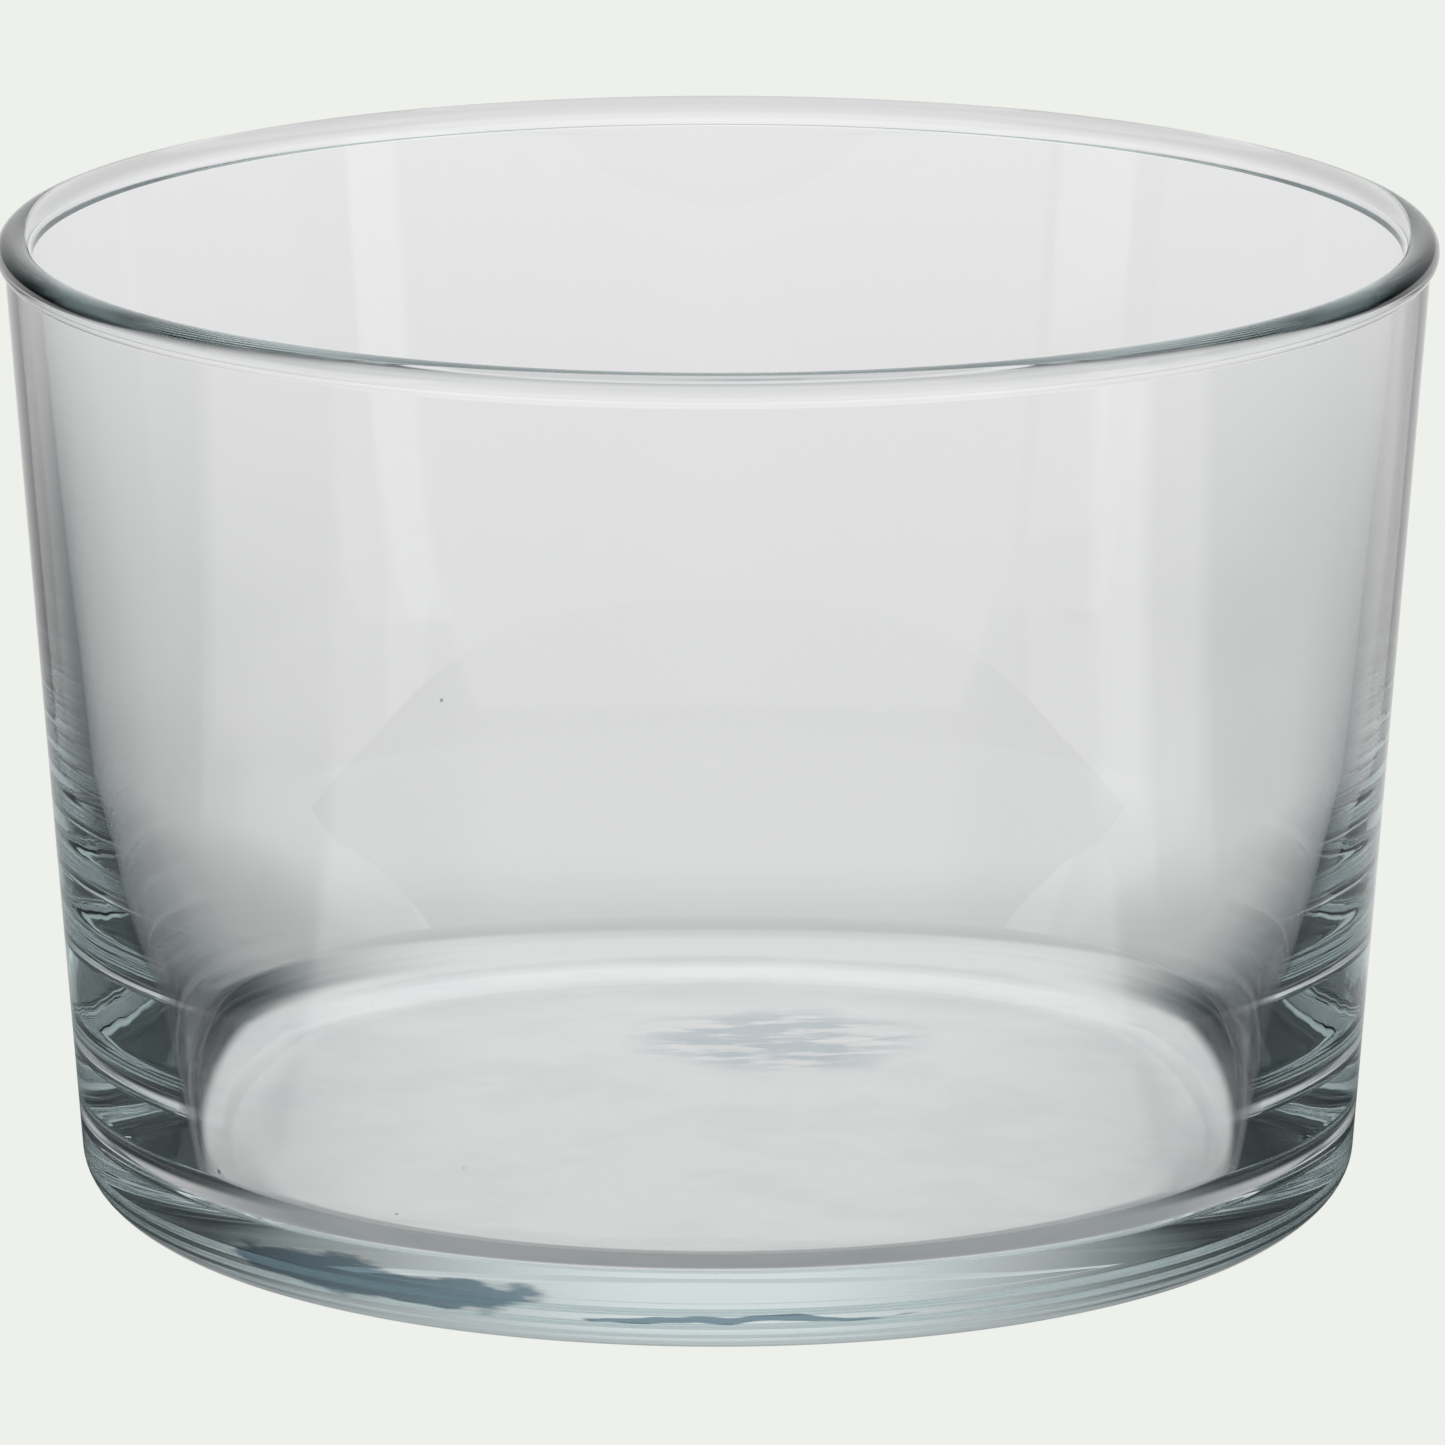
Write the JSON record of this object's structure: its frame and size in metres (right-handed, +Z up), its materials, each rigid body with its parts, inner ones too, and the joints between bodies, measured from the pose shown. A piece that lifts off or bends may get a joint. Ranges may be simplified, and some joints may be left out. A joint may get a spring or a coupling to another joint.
{
  "type": "crystallizing dish",
  "caption": "Round clear glass dish with a thick flat floor, a straight, slightly flared wall and a rounded bead at the rim, for crystallizing or holding liquids.",
  "frame": {"origin": "on the axis, in the plane that the foot rests on", "axes": "+Z up along the axis of the dish, towards its open rim; X and Y lie in the resting plane and may be chosen freely, because the dish is round"},
  "size_m": [0.086, 0.086, 0.06],
  "materials": {
    "clear_glass": "clear pressed soda-lime glass, fire-polished, faint blue-green tint in thick sections"
  },
  "bodies": {
    "root": {"dish": "clear_glass"}
  },
  "joints": []
}
